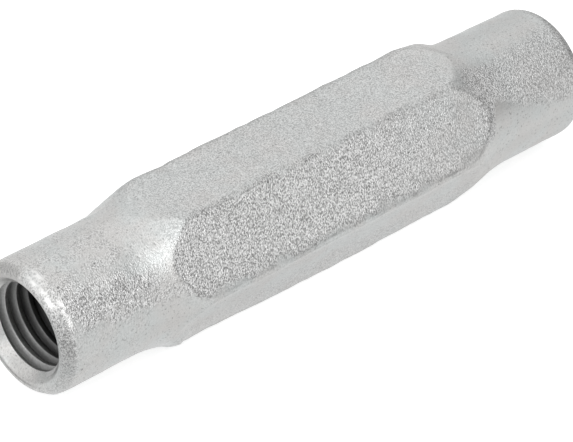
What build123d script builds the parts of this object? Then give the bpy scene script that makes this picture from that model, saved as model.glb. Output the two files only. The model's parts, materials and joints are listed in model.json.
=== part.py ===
from build123d import *
import math
import os

# Coupling nut with a left-hand thread in one end and a right-hand thread in the other, in millimetres.
# The thread axis lies along X, and the origin is the middle of the nut.
# The nut lies on one of its six flats, so that flat faces straight down.

# Body
LENGTH = 127.0             # from end face to end face
ACROSS_FLATS = 27.0        # spanner size of the hexagon
CORNER_ROUND = 1.6         # radius along the six long corners
END_STEP = 0.85            # how far the round ends lie below the flats
LIP_ROUND = 2.3            # radius of the outer edge of each end face

# Neck, where each round end swells out into the hexagon
END_STRAIGHT = 17.2        # plain round stretch behind each end face
NECK_HOLLOW = 35.0         # radius of the hollow curve that leaves the round end
NECK_CROWN = 10.0          # radius of the crown that meets the long corners
CROWN_INSET = 0.03         # crest of the crown below the crest of the corners

# Drilled bore and the countersinks in front of the threads
FLAT_WALL = 3.975          # metal from the nominal diameter of the thread out to a flat
THREAD_PITCH = 2.54        # one turn of either thread
BORE_ALLOWANCE = 0.37      # drilled bore over the basic minor diameter
MOUTH_OVERSIZE = 1.25      # mouth of the countersink over the nominal diameter
MOUTH_ANGLE = 90.0         # degrees, included angle of the countersink

# Proportions of the basic thread form and of a hexagon
MINOR_STEP = 1.25 * math.sqrt(3) / 2   # nominal less minor diameter, for each unit of pitch
HALF_SECTOR = math.radians(30)         # from the middle of a flat to a corner

# Worked out from the sizes above
THREAD_DIAMETER = ACROSS_FLATS - 2 * FLAT_WALL   # nominal, the same for both threads
HALF_LENGTH = LENGTH / 2
FLAT_RADIUS = ACROSS_FLATS / 2
END_RADIUS = FLAT_RADIUS - END_STEP
CORNER_RADIUS = (FLAT_RADIUS - CORNER_ROUND) / math.cos(HALF_SECTOR) + CORNER_ROUND
CROWN_RADIUS = CORNER_RADIUS - CROWN_INSET
BORE_RADIUS = (THREAD_DIAMETER - MINOR_STEP * THREAD_PITCH + BORE_ALLOWANCE) / 2
MOUTH_RADIUS = (THREAD_DIAMETER + MOUTH_OVERSIZE) / 2
MOUTH_DEPTH = (MOUTH_RADIUS - BORE_RADIUS) / math.tan(math.radians(MOUTH_ANGLE / 2))


def neck_turn():
    """Angle in degrees that the hollow curve and the crown turn through to rise from end to crest."""
    rise = CROWN_RADIUS - END_RADIUS
    return math.degrees(math.acos(1 - rise / (NECK_HOLLOW + NECK_CROWN)))


def turned_envelope():
    """Round solid that trims the hexagonal bar: lips, round ends, necks and crest."""
    turn = neck_turn()
    with BuildPart() as envelope:
        with BuildSketch(Plane.XY):
            with BuildLine():
                face = Line((-HALF_LENGTH, 0), (-HALF_LENGTH, END_RADIUS - LIP_ROUND))
                lip = JernArc(face @ 1, face % 1, LIP_ROUND, -90)
                end = Line(lip @ 1, (END_STRAIGHT - HALF_LENGTH, END_RADIUS))
                hollow = JernArc(end @ 1, end % 1, NECK_HOLLOW, turn)
                crown = JernArc(hollow @ 1, hollow % 1, NECK_CROWN, -turn)
                Line(crown @ 1, (0, CROWN_RADIUS))
                mirror(about=Plane.YZ)
                Line((-HALF_LENGTH, 0), (HALF_LENGTH, 0))
            make_face()
        revolve(axis=Axis.X)
    return envelope.part


def hexagonal_bar():
    """Bar with softened corners along X, with a flat facing up and a flat facing down."""
    with BuildPart() as bar:
        with BuildSketch(Plane.YZ) as section:
            RegularPolygon(FLAT_RADIUS, side_count=6, major_radius=False)
            fillet(section.vertices(), CORNER_ROUND)
        extrude(amount=HALF_LENGTH, both=True)
    return bar.part


def drilled_bore():
    """Solid of the space inside: the through bore with a countersink at each end."""
    with BuildPart() as bore:
        with BuildSketch(Plane.XY):
            with BuildLine():
                Polyline(
                    (0, BORE_RADIUS),
                    (MOUTH_DEPTH - HALF_LENGTH, BORE_RADIUS),
                    (-HALF_LENGTH, MOUTH_RADIUS),
                    (-HALF_LENGTH, 0),
                )
                mirror(about=Plane.YZ)
                Line((-HALF_LENGTH, 0), (HALF_LENGTH, 0))
            make_face()
        revolve(axis=Axis.X)
    return bore.part


def nut_body():
    """The whole nut, forged as one piece: trimmed bar with the bore cut through it."""
    forging = hexagonal_bar() & turned_envelope()
    return forging - drilled_bore()


os.makedirs("parts", exist_ok=True)
export_step(nut_body(), "parts/nut_body.step")
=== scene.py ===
"""Looks of a forged, zinc-plated coupling nut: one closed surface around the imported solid.

Lengths are in millimetres until a mesh, a lamp or the camera is made. The thread axis lies along X.
An angle about that axis starts at the top flat (+Z) and grows towards the front (-Y).
"""

import json
import logging
import math
from dataclasses import dataclass, field
from enum import Enum

import bpy
import numpy as np
from mathutils import Matrix, Vector


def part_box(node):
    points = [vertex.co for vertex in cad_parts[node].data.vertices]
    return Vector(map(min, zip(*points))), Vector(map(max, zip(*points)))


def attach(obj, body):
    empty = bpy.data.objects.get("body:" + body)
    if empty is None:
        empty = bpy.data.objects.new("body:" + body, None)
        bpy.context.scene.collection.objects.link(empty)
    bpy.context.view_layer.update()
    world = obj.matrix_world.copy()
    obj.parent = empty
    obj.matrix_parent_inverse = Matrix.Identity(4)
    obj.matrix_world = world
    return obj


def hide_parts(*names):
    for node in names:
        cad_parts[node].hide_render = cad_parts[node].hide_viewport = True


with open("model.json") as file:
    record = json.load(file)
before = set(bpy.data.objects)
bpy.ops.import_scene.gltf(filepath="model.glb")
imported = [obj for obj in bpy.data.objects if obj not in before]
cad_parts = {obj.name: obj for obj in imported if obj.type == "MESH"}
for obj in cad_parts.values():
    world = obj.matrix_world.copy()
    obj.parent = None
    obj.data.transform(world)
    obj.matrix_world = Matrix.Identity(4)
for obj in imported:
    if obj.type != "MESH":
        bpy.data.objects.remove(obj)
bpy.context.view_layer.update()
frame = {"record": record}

MM = 0.001
NODE = "nut_body"
BODY = "root"

# Degrees. Folded angles run from -FOLD to HALF_TURN - FOLD.
FULL_TURN = 360.0
HALF_TURN = 180.0
FOLD = 60.0

# Numbers of a Mix node's sockets: factor and both colours, and the mixed colour.
MIX_INPUTS = (0, 6, 7)
MIX_RESULT = 2

# A span is where a change starts and ends. A window is where a rise and then a fall start and end.
Span = tuple[float, float]
Window = tuple[float, float, float, float]
Colour = tuple[float, float, float]
Rows = tuple[tuple[float, ...], ...]

log = logging.getLogger("coupling_nut")


class Hand(Enum):
    """Which way a thread winds, as the sign of its lead."""

    LEFT = -1
    RIGHT = 1


class Side(Enum):
    """Which end of the nut, as the sign of X there."""

    LEFT_END = -1
    RIGHT_END = 1


class Finish(Enum):
    """Index of each material on the nut."""

    SKIN = 0
    BORE = 1


def smooth_step(value: np.ndarray, low: float, high: float) -> np.ndarray:
    """Ease from 0 at low to 1 at high as 3t^2 - 2t^3.

    Args:
        value: numbers to ease.
        low: where the result leaves 0.
        high: where the result reaches 1.

    Returns:
        Numbers from 0 to 1, in the shape of value.
    """
    share = np.clip((value - low) / (high - low), 0.0, 1.0)
    return share * share * (3.0 - 2.0 * share)


def smooth_fall(value: np.ndarray, low: float, high: float) -> np.ndarray:
    """Ease from 1 at low to 0 at high: what smooth_step leaves of 1."""
    return 1.0 - smooth_step(value, low, high)


def between(value: np.ndarray, window: Window) -> np.ndarray:
    """Ease from 0 to 1 and back again: a smooth rise times a smooth fall."""
    return smooth_step(value, *window[:2]) * smooth_fall(value, *window[2:])


def bell(value: np.ndarray, centre: float, width: float) -> np.ndarray:
    """Bell curve exp(-t^2 / 2), where t counts the standard deviations from its centre."""
    return np.exp(-0.5 * ((value - centre) / width) ** 2)


def look_up(rows: Rows, place: np.ndarray, column: int = 1, period: float | None = None) -> np.ndarray:
    """Read a table at each place, along straight lines between its rows.

    Args:
        rows: rows of the table, each a place followed by its values.
        place: places to read it at.
        column: which value is read.
        period: length after which the places repeat, if they do.

    Returns:
        The value at each place.
    """
    columns = np.array(rows).T
    return np.interp(place, columns[0], columns[column], period=period)


def soft_minimum(first: np.ndarray, second: np.ndarray, blend: float) -> np.ndarray:
    """Lower of two values, with the crease between them rounded by a parabola.

    Args:
        first: one surface.
        second: the other surface.
        blend: difference below which the two are blended.

    Returns:
        The blended minimum.
    """
    share = np.clip(0.5 + 0.5 * (second - first) / blend, 0.0, 1.0)
    return second + (first - second) * share - blend * share * (1.0 - share)


def turn_distance(angle: np.ndarray, centre: float) -> np.ndarray:
    """Signed angle in radians from centre, the short way round, from -pi to pi."""
    return (angle - centre + math.pi) % (2.0 * math.pi) - math.pi


@dataclass(frozen=True)
class Ripple:
    """Random waves through space: a sum of sines with random directions, lengths and phases.

    Args:
        shortest: shortest wavelength.
        longest: longest wavelength.
        seed: seed of the random numbers.
        waves: how many sines are summed.
    """

    shortest: float
    longest: float
    seed: int
    waves: int = 48

    def at(self, points: np.ndarray) -> np.ndarray:
        """Value of the sum at each point, scaled to a standard deviation of about 1.

        Args:
            points: array of points with their coordinates in the last axis.

        Returns:
            One number for each point.
        """
        random = np.random.default_rng(self.seed)
        direction = random.normal(size=(3, self.waves))
        direction /= np.linalg.norm(direction, axis=0)
        length = self.shortest * (self.longest / self.shortest) ** random.random(self.waves)
        phase = 2.0 * math.pi * random.random(self.waves)
        waves = np.sin(points @ (direction * 2.0 * math.pi / length) + phase)
        return waves.sum(axis=-1) / math.sqrt(self.waves / 2.0)


@dataclass(frozen=True)
class Mark:
    """A local swelling or hollow that the dies left, with the outline of a bell curve.

    Args:
        along: place along the axis.
        angle: place about the axis, in degrees.
        length: standard deviation along the axis.
        width: standard deviation about the axis, in degrees.
        rise: height at the middle, below 0 for a hollow.
    """

    along: float
    angle: float
    length: float
    width: float
    rise: float

    def at(self, along: np.ndarray, angle: np.ndarray) -> np.ndarray:
        """Height of the mark over a grid of places: rise times a bell in each direction."""
        across = turn_distance(angle, math.radians(self.angle)) / math.radians(self.width)
        return self.rise * np.exp(-0.5 * (((along - self.along) / self.length) ** 2 + across**2))


@dataclass(frozen=True)
class Streak:
    """A low ridge that runs part of the way round the lip of the left end, with a painted highlight along
    it.

    Args:
        depth: depth of its middle behind the end face.
        width: standard deviation of the bell across it.
        start: angle where it starts, in degrees.
        end: angle where it ends, in degrees.
        fade: angle over which it starts and ends, in degrees.
    """

    depth: float
    width: float
    start: float
    end: float
    fade: float = 10.0

    def at(self, depth: np.ndarray, angle: np.ndarray) -> np.ndarray:
        """Strength from 0 to 1: a bell across the ridge times an eased start and end.

        Args:
            depth: depth of each place behind the end face.
            angle: angle of each place about the axis, in radians.

        Returns:
            The strength, in the shape of the two arguments together.
        """
        turned = np.degrees(turn_distance(angle, 0.0))
        begun = smooth_step(turned, self.start, self.start + self.fade)
        ended = smooth_step(turned, self.end - self.fade, self.end)
        return bell(depth, self.depth, self.width) * begun * (1.0 - ended)


@dataclass
class Surface:
    """Points and faces that grow into one closed mesh.

    Args:
        points: blocks of points.
        faces: blocks of faces, as lists of point numbers.
        finishes: blocks of the faces' material indices.
        count: how many points there are.
        crease: angle between two faces, in radians, past which their edge looks sharp.
    """

    points: list[np.ndarray] = field(default_factory=list)
    faces: list[list[list[int]]] = field(default_factory=list)
    finishes: list[np.ndarray] = field(default_factory=list)
    count: int = 0
    crease: float = math.radians(38.0)

    def add_points(self, points: np.ndarray) -> np.ndarray:
        """Add points and give their numbers.

        Args:
            points: array whose last axis holds x, y and z.

        Returns:
            The number of each point, in the shape of the other axes.
        """
        shape = points.shape[:-1]
        numbers = self.count + np.arange(math.prod(shape)).reshape(shape)
        self.points.append(points.reshape(-1, 3))
        self.count += math.prod(shape)
        return numbers

    def add_faces(self, corners: np.ndarray, finish: int) -> None:
        """Add faces with one finish.

        Args:
            corners: one row of point numbers for each face.
            finish: index of the material.
        """
        self.faces.append(corners.tolist())
        self.finishes.append(np.full(len(corners), finish))

    def add_grid(self, numbers: np.ndarray, finish: int, flip: bool = False) -> None:
        """Add the quads of a grid whose last column meets its first.

        Args:
            numbers: point numbers, rows along the part and columns about it.
            finish: index of the material.
            flip: whether the faces look towards the axis instead of away from it.
        """
        following = np.roll(numbers, -1, axis=1)
        loop = [numbers[:-1], following[:-1], following[1:], numbers[1:]]
        corners = np.stack(loop[::-1] if flip else loop, axis=-1).reshape(-1, 4)
        self.add_faces(corners, finish)

    def build(self, name: str, masks: dict[str, np.ndarray]) -> bpy.types.Object:
        """Make the mesh object, without the points that no face uses.

        Args:
            name: name of the object and its mesh.
            masks: one number for each point, by the name of the attribute that keeps it.

        Returns:
            The new object, at the origin.
        """
        points = np.concatenate(self.points)
        used = np.zeros(len(points), bool)
        for block in self.faces:
            used[np.array(block).ravel()] = True
        renumbered = np.cumsum(used) - 1
        corners = [renumbered[np.array(block)].tolist() for block in self.faces]
        faces = [face for block in corners for face in block]
        mesh = bpy.data.meshes.new(name)
        mesh.from_pydata(points[used] * MM, [], faces)
        mesh.polygons.foreach_set("material_index", np.concatenate(self.finishes).astype(np.int32))
        mesh.polygons.foreach_set("use_smooth", np.ones(len(faces), bool))
        for mask_name, values in masks.items():
            attribute = mesh.attributes.new(mask_name, "FLOAT", "POINT")
            attribute.data.foreach_set("value", values[used].astype(np.float32))
        mesh.update()
        mesh.validate()
        mesh.set_sharp_from_angle(angle=self.crease)
        piece = bpy.data.objects.new(name, mesh)
        bpy.context.scene.collection.objects.link(piece)
        return piece


@dataclass
class Columns:
    """Places of the grid's columns about the axis, crowded towards the six long corners.

    Args:
        count: how many columns there are, a multiple of twelve.
        crowding: how far the columns are moved towards the corners, in radians.
    """

    count: int = 192
    crowding: float = 0.1

    def angles(self) -> np.ndarray:
        """Angle of each column: an even turn plus a sine that repeats on every flat."""
        turn = 2.0 * math.pi * np.arange(self.count) / self.count
        return turn + self.crowding * np.sin(6.0 * turn)


def around(along: np.ndarray, radius: np.ndarray, angle: np.ndarray) -> np.ndarray:
    """Points at a place along X, a distance from the axis and an angle about it.

    Args:
        along: X of each point.
        radius: distance from the axis.
        angle: angle in radians, from +Z towards -Y.

    Returns:
        Points, with x, y and z in the last axis.
    """
    along, radius, angle = np.broadcast_arrays(along, radius, angle)
    return np.stack([along, -radius * np.sin(angle), radius * np.cos(angle)], axis=-1)


@dataclass
class Forging:
    """Outer skin: end faces, lips, round ends, necks and the hexagon, all as forged.

    Args:
        half_length: half the nut's length.
        flat_radius: distance from the axis to a flat.
        rim_radius: distance from the axis to where an end face meets the rounded rim of its mouth.
        columns: columns of the grid about the axis.
        end_step: how far the round ends lie below the flats.
        lip: depth of the rounded lip.
        lip_face: plain ring of the end face between the rim and the lip.
        lip_turns: shares of the lip's length where its two turns are half done.
        lip_softness: share of the lip's length on either side of that over which a turn is spread.
        corner_round: radius of the long corners.
        corner_change: standard deviation of that radius, as a share of it.
        corner_limits: least and greatest radius, as shares of it.
        corner_ripple: waves by which it changes.
        end_straight: depth behind an end face where its neck begins.
        hollow: radius of the neck's hollow curve.
        crown: radius of the neck's crown.
        neck_length: length of the stretch with close rows, a little more than the neck.
        crease: difference below which the bar and the turned envelope are blended.
        lip_rows: rows of the grid on a lip.
        lip_samples: steps in which the lip's curve is summed, for each of its rows.
        straight_step: distance between the rows on a round end.
        neck_step: distance between the rows on a neck.
        middle_step: distance between the rows on the hexagon.
        still_depth: depth behind an end face up to which nothing is moved.
        swell: standard deviation of the broad swellings.
        swell_ripple: their waves.
        pimple: standard deviation of the small swellings.
        pimple_ripple: their waves.
        flash_rise: height of the ridge where the dies met.
        flash_width: standard deviation of the bell across that ridge, in degrees.
        flash_corners: angles of the two corners that it follows, in degrees.
        flash_level: usual height of the ridge, as a share of its rise.
        flash_change: standard deviation of that share.
        flash_limits: least and greatest share.
        flash_ripple: waves by which it changes.
        marks: swellings and hollows of the whole skin.
        trims: hollows of the turned envelope alone.
        streaks: ridges on the left lip, each with a painted highlight along it.
        streak_rise: height of those ridges.
    """

    half_length: float
    flat_radius: float
    rim_radius: float
    columns: Columns
    end_step: float = 0.85
    lip: float = 3.2
    lip_face: float = 0.1
    lip_turns: Span = (0.26, 0.74)
    lip_softness: float = 0.26
    corner_round: float = 1.6
    corner_change: float = 0.2
    corner_limits: Span = (0.6, 1.5)
    corner_ripple: Ripple = Ripple(14.0, 40.0, seed=11, waves=24)
    end_straight: float = 17.2
    hollow: float = 35.0
    crown: float = 10.0
    neck_length: float = 15.6
    crease: float = 0.12
    lip_rows: int = 18
    lip_samples: int = 40
    straight_step: float = 0.6
    neck_step: float = 0.25
    middle_step: float = 0.8
    still_depth: float = 0.1
    swell: float = 0.035
    swell_ripple: Ripple = Ripple(5.0, 16.0, seed=3)
    pimple: float = 0.010
    pimple_ripple: Ripple = Ripple(1.2, 3.0, seed=8)
    flash_rise: float = 0.10
    flash_width: float = 2.2
    flash_corners: Span = (150.0, -30.0)
    flash_level: float = 0.7
    flash_change: float = 0.5
    flash_limits: Span = (0.0, 1.6)
    flash_ripple: Ripple = Ripple(3.0, 14.0, seed=5)
    marks: tuple[Mark, ...] = (
        Mark(along=-35.2, angle=150.0, length=1.3, width=12.0, rise=0.72),
        Mark(along=-25.0, angle=150.0, length=7.0, width=10.0, rise=-0.32),
        Mark(along=3.0, angle=150.0, length=9.0, width=12.0, rise=0.20),
        Mark(along=37.2, angle=-30.0, length=2.0, width=11.0, rise=0.85),
        Mark(along=-39.0, angle=-35.0, length=3.5, width=20.0, rise=-0.26),
        Mark(along=-57.0, angle=150.0, length=5.0, width=35.0, rise=0.13),
        Mark(along=48.0, angle=150.0, length=9.0, width=35.0, rise=0.13),
        Mark(along=60.8, angle=-18.0, length=2.6, width=30.0, rise=-0.32),
        Mark(along=53.5, angle=-28.0, length=4.0, width=24.0, rise=-0.17),
        Mark(along=60.8, angle=150.0, length=2.6, width=25.0, rise=0.18),
        Mark(along=-29.0, angle=150.0, length=4.5, width=10.0, rise=-0.20),
        Mark(along=-33.7, angle=150.0, length=0.8, width=10.0, rise=-0.18),
        Mark(along=36.0, angle=150.0, length=1.7, width=20.0, rise=0.20),
        Mark(along=-24.6, angle=-30.0, length=2.4, width=10.0, rise=-0.18),
        Mark(along=-24.2, angle=-30.0, length=0.9, width=8.0, rise=-0.18),
        Mark(along=-39.8, angle=-35.0, length=1.6, width=20.0, rise=-0.17),
        Mark(along=3.0, angle=-30.0, length=12.0, width=12.0, rise=-0.13),
    )
    trims: tuple[Mark, ...] = (
        Mark(along=-39.0, angle=72.0, length=3.5, width=16.0, rise=-0.18),
    )
    streaks: tuple[Streak, ...] = (
        Streak(depth=0.66, width=0.26, start=2.0, end=48.0),
        Streak(depth=2.2, width=0.38, start=34.0, end=68.0),
        Streak(depth=1.9, width=0.34, start=-6.0, end=28.0, fade=22.0),
    )
    streak_rise: float = 0.05

    @property
    def end_radius(self) -> float:
        """Radius of the round ends."""
        return self.flat_radius - self.end_step

    @property
    def crest_radius(self) -> float:
        """Distance from the axis to a long corner."""
        return (self.flat_radius - self.corner_round) / math.cos(math.pi / 6.0) + self.corner_round

    def hexagon(self, angle: np.ndarray, corner: np.ndarray) -> np.ndarray:
        """Distance from the axis to a hexagon with rounded corners.

        On a flat it is the flat's distance over the cosine of the angle from its middle. On a corner it is
        the far crossing of a ray with the corner's circle, whose centre lies on the line to the corner.

        Args:
            angle: angle about the axis.
            corner: radius of the rounded corners.

        Returns:
            The distance, in the shape of the two arguments together.
        """
        sector = math.pi / 3.0
        from_flat = np.abs((angle + sector / 2.0) % sector - sector / 2.0)
        centre = (self.flat_radius - corner) / math.cos(sector / 2.0)
        from_corner = sector / 2.0 - from_flat
        straight = self.flat_radius / np.cos(from_flat)
        inside = np.maximum(corner**2 - (centre * np.sin(from_corner)) ** 2, 0.0)
        rounded = centre * np.cos(from_corner) + np.sqrt(inside)
        touch = (self.flat_radius - corner) * math.tan(sector / 2.0)
        return np.where(self.flat_radius * np.tan(from_flat) > touch, rounded, straight)

    def lip_profile(self) -> np.ndarray:
        """Rounded lip as two soft turns of 45 degrees with a bevel between them.

        The slope angle rises in two eased steps. Its cosine and sine are summed along the lip, and the
        sum is scaled so that the lip is as deep and as wide as its size says.

        Returns:
            Rows of depth behind the end face and distance from the axis.
        """
        share = np.linspace(0.0, 1.0, self.lip_samples * self.lip_rows + 1)
        slope = np.zeros_like(share)
        for turn in self.lip_turns:
            slope += smooth_step(share, turn - self.lip_softness, turn + self.lip_softness)
        slope *= math.pi / 4.0
        middle = (slope[1:] + slope[:-1]) / 2.0
        depth = np.concatenate([[0.0], np.cumsum(np.sin(middle))])
        rise = np.concatenate([[0.0], np.cumsum(np.cos(middle))])
        depth *= self.lip / depth[-1]
        rise *= (self.end_radius - self.rim_radius - self.lip_face) / rise[-1]
        rows = np.linspace(0, len(share) - 1, self.lip_rows + 1).astype(int)
        return np.stack([depth[rows], self.rim_radius + self.lip_face + rise[rows]], axis=-1)

    def neck(self, depth: np.ndarray) -> np.ndarray:
        """Distance from the axis to the turned envelope, from the round end to the crest.

        A hollow arc leaves the round end and a crown arc of the other bend meets the crest. Both turn
        through the angle whose cosine is 1 less the rise over the sum of their radii.

        Args:
            depth: depth behind the end face.

        Returns:
            The distance for each depth.
        """
        both = self.hollow + self.crown
        turn = math.acos(1.0 - (self.crest_radius - self.end_radius) / both)
        along = depth - self.end_straight
        change = self.hollow * math.sin(turn)
        finish = both * math.sin(turn)
        lower = np.clip(along, 0.0, change)
        upper = np.clip(finish - along, 0.0, self.crown * math.sin(turn))
        hollow = self.end_radius + self.hollow - np.sqrt(self.hollow**2 - lower**2)
        crown = self.crest_radius - self.crown + np.sqrt(self.crown**2 - upper**2)
        return np.where(along < change, hollow, crown)

    def profile(self) -> tuple[np.ndarray, np.ndarray]:
        """Rows of the skin from rim to rim.

        Returns:
            X of each row and its distance from the axis before the hexagon trims it.
        """
        lip = self.lip_profile()
        neck_end = self.end_straight + self.neck_length
        steps = [
            (self.lip, self.end_straight, self.straight_step),
            (self.end_straight, neck_end, self.neck_step),
            (neck_end, self.half_length, self.middle_step),
        ]
        depths = [np.linspace(a, b, round((b - a) / step) + 1)[1:] for a, b, step in steps]
        depth = np.concatenate(depths)
        half_depth = np.concatenate([[0.0], lip[:, 0], depth])
        first_radius = self.rim_radius + self.lip_face / 2.0
        half_radius = np.concatenate([[first_radius], lip[:, 1], self.neck(depth)])
        along = np.concatenate([half_depth - self.half_length, (self.half_length - half_depth)[-2::-1]])
        radius = np.concatenate([half_radius, half_radius[-2::-1]])
        return along, radius

    def normals(self, points: np.ndarray) -> np.ndarray:
        """Outward unit normals of the skin's grid: the cross product of its two directions.

        Args:
            points: grid of points, rows along the nut and columns about it.

        Returns:
            The normal at each point.
        """
        lengthwise = np.gradient(points, axis=0)
        crosswise = np.roll(points, -1, axis=1) - np.roll(points, 1, axis=1)
        normal = np.cross(crosswise, lengthwise)
        return normal / np.linalg.norm(normal, axis=-1, keepdims=True)

    def flash_line(self, angle: np.ndarray) -> np.ndarray:
        """Low ridge where the dies met, along two opposite corners, as a bell across each."""
        away = [turn_distance(angle, math.radians(corner)) for corner in self.flash_corners]
        return sum(bell(distance, 0.0, math.radians(self.flash_width)) for distance in away)

    def burnish(self, depth: np.ndarray, angle: np.ndarray) -> np.ndarray:
        """Strength of the lip's streaks together, from 0 to 1: their ridges and their painted highlights."""
        return sum(streak.at(depth, angle) for streak in self.streaks)

    def skin(self) -> tuple[np.ndarray, np.ndarray]:
        """Points of the skin: the trimmed hexagon, moved along its normals by what forging leaves.

        Returns:
            Grid of points, rows from the left rim to the right rim and columns about the axis, and how
            far the envelope cuts the bar back at each one, negative where it doesn't reach it.
        """
        along, envelope = self.profile()
        angle = self.columns.angles()[None, :]
        along = along[:, None]
        base = around(along, self.crest_radius, angle)
        softness = 1.0 + self.corner_change * self.corner_ripple.at(base)
        corner = self.corner_round * np.clip(softness, *self.corner_limits)
        envelope = envelope[:, None] + sum(mark.at(along, angle) for mark in self.trims)
        bar = self.hexagon(angle, corner)
        radius = soft_minimum(bar, envelope, self.crease)
        points = around(along, radius, angle)
        inside = self.half_length - np.abs(along)
        free = smooth_step(inside, self.still_depth, self.lip)
        uneven = self.flash_level + self.flash_change * self.flash_ripple.at(points)
        ridge = self.flash_line(angle) * np.clip(uneven, *self.flash_limits)
        rise = self.swell * self.swell_ripple.at(points)
        rise += self.pimple * self.pimple_ripple.at(points)
        rise += self.flash_rise * ridge
        for mark in self.marks:
            rise += mark.at(along, angle)
        rise += self.streak_rise * self.burnish(along + self.half_length, angle)
        points = points + self.normals(points) * (rise * free)[..., None]
        points[..., 2] = np.maximum(points[..., 2], -self.flat_radius)
        return points, bar - envelope


@dataclass
class Thread:
    """Internal thread of one end, with the countersink in front of it.

    Args:
        side: which end it is in.
        hand: which way it winds.
        half_length: half the nut's length.
        minor_radius: radius of the drilled bore, where the crests lie.
        columns: columns of the skin's grid, of which the bore uses every second one.
        mouth_radius: radius of the countersink at the end face.
        major_radius: radius down in the roots.
        pitch: how far one turn advances.
        crest: width of a crest before its corners are rounded.
        root: width of a root before its corners are cut off.
        edge: how far each side of such a corner is cut off along the axis.
        crest_round: radius of the corners of a crest.
        crest_rows: rows of the grid on each of them.
        reach: depth behind the end face where the thread has run out.
        fade: length over which it runs out.
        start: depth of a crest at the angle 0.
        spare_turns: turns of the grid beyond either end of the threaded wall.
        rim_round: radius of the mouth's rounded rim.
        rim_rows: rows of the grid on that rim.
        lead_in: depth where the countersink's first stretch ends.
        run_in: depths between which the grooves grow to their full depth.
        closeness: distance from the countersink up to which a point counts as on it.
    """

    side: Side
    hand: Hand
    half_length: float
    minor_radius: float
    columns: Columns
    mouth_radius: float = 10.15
    major_radius: float = 9.525
    pitch: float = 2.54
    crest: float = 0.848
    root: float = 0.3175
    edge: float = 0.06
    crest_round: float = 0.25
    crest_rows: int = 4
    reach: float = 38.0
    fade: float = 5.0
    start: float = 0.65
    spare_turns: int = 2
    rim_round: float = 1.2
    rim_rows: int = 6
    lead_in: float = 0.45
    run_in: Span = (0.75, 1.25)
    closeness: float = 1e-6

    @property
    def rim_radius(self) -> float:
        """Distance from the axis to where the rounded rim leaves the end face."""
        return self.mouth_radius + self.rim_round * math.tan(math.pi / 8.0)

    def at_depth(self, depth: np.ndarray) -> np.ndarray:
        """X of a depth behind this end's face."""
        return self.side.value * (self.half_length - depth)

    def rim(self) -> np.ndarray:
        """Points of the mouth's rounded rim: an eighth of a circle, then the countersink's first stretch.

        Returns:
            Rings of points from the end face inwards, columns about the axis.
        """
        turn = np.linspace(0.0, math.pi / 4.0, self.rim_rows)
        depth = np.append(self.rim_round * (1.0 - np.cos(turn)), self.lead_in)
        curved = self.rim_radius - self.rim_round * np.sin(turn)
        radius = np.append(curved, self.mouth_radius - self.lead_in)
        angle = self.columns.angles()[::2]
        return around(self.at_depth(depth)[:, None], radius[:, None], angle[None, :])

    def turn_profile(self) -> tuple[np.ndarray, np.ndarray]:
        """One pitch of the thread: half a crest, a flank, the root, the other flank and half a crest.

        Each corner of a crest is an arc that turns from the crest to the flank, and each corner of the
        root is cut off by a short slope.

        Returns:
            Places along one pitch from the middle of a crest, and the depth of the groove there.
        """
        depth = self.major_radius - self.minor_radius
        crest, root = self.crest / 2.0, (self.pitch - self.root) / 2.0
        slope = math.atan2(depth, root - crest)
        turn = np.linspace(0.0, slope, self.crest_rows)
        centre = crest - self.crest_round * math.tan(slope / 2.0)
        lift = depth * self.edge / (root - crest)
        across = centre + self.crest_round * np.sin(turn)
        down = self.crest_round * (1.0 - np.cos(turn))
        places = np.array([0.0, *across, root - self.edge, root + self.edge])
        heights = np.array([0.0, *down, depth - lift, depth])
        places = np.append(places, self.pitch - places[:0:-1])
        return places, np.append(heights, heights[:0:-1])

    def wall(self, surface: Surface, mouth: np.ndarray, inner: np.ndarray) -> None:
        """Add the threaded wall between two rings.

        Every row winds once round the axis and lands one pitch further on, so its last column meets the
        first column of the row a pitch away. Rows fold onto a ring where they pass it. The radius is the
        thread's or the countersink's, whichever is larger, and the points nearest to where the two cross
        slide along the axis onto the crossing.

        Args:
            surface: surface to add to.
            mouth: point numbers of the ring where the countersink's first stretch ends.
            inner: point numbers of the ring where the thread has run out.
        """
        places, heights = self.turn_profile()
        rows = len(places)
        last_turn = math.ceil(self.reach / self.pitch) + self.spare_turns
        turns = np.arange(-self.spare_turns, last_turn + 1)
        place = (self.start + self.pitch * turns[:, None] + places[None, :]).ravel()
        height = np.tile(heights, len(turns))[:, None]
        winding = self.side.value * self.hand.value
        angle = self.columns.angles()[::2]
        depth = place[:, None] - winding * self.pitch * angle[None, :] / (2.0 * math.pi)
        depth, radius = self.cut_by_countersink(depth, height * smooth_step(depth, *self.run_in))
        along = self.at_depth(np.clip(depth, self.lead_in, self.reach))
        numbers = surface.add_points(around(along, radius, angle[None, :]))
        plated = np.zeros(surface.count, bool)
        plated[numbers] = radius <= self.mouth_radius - depth + self.closeness
        plated[mouth] = True
        numbers = np.where(depth <= self.lead_in, mouth[None, :], numbers)
        numbers = np.where(depth >= self.reach, inner[None, :], numbers)
        seam_row = np.arange(len(place)) - rows * winding
        seam = numbers[np.clip(seam_row, 0, len(place) - 1), 0]
        seam = np.where(seam_row < 0, mouth[0], np.where(seam_row >= len(place), inner[0], seam))
        numbers = np.concatenate([numbers, seam[:, None]], axis=1)
        here, after = numbers[:, :-1], numbers[:, 1:]
        first = np.stack([here[:-1], here[1:], after[1:]], axis=-1).reshape(-1, 3)
        second = np.stack([here[:-1], after[1:], after[:-1]], axis=-1).reshape(-1, 3)
        corners = np.concatenate([first, second])
        if self.side is Side.RIGHT_END:
            corners = corners[:, ::-1]
        whole = (corners != np.roll(corners, 1, axis=1)).all(axis=1)
        corners = corners[whole]
        countersunk = plated[corners].all(axis=1)
        surface.add_faces(corners[countersunk], Finish.SKIN.value)
        surface.add_faces(corners[~countersunk], Finish.BORE.value)

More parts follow.
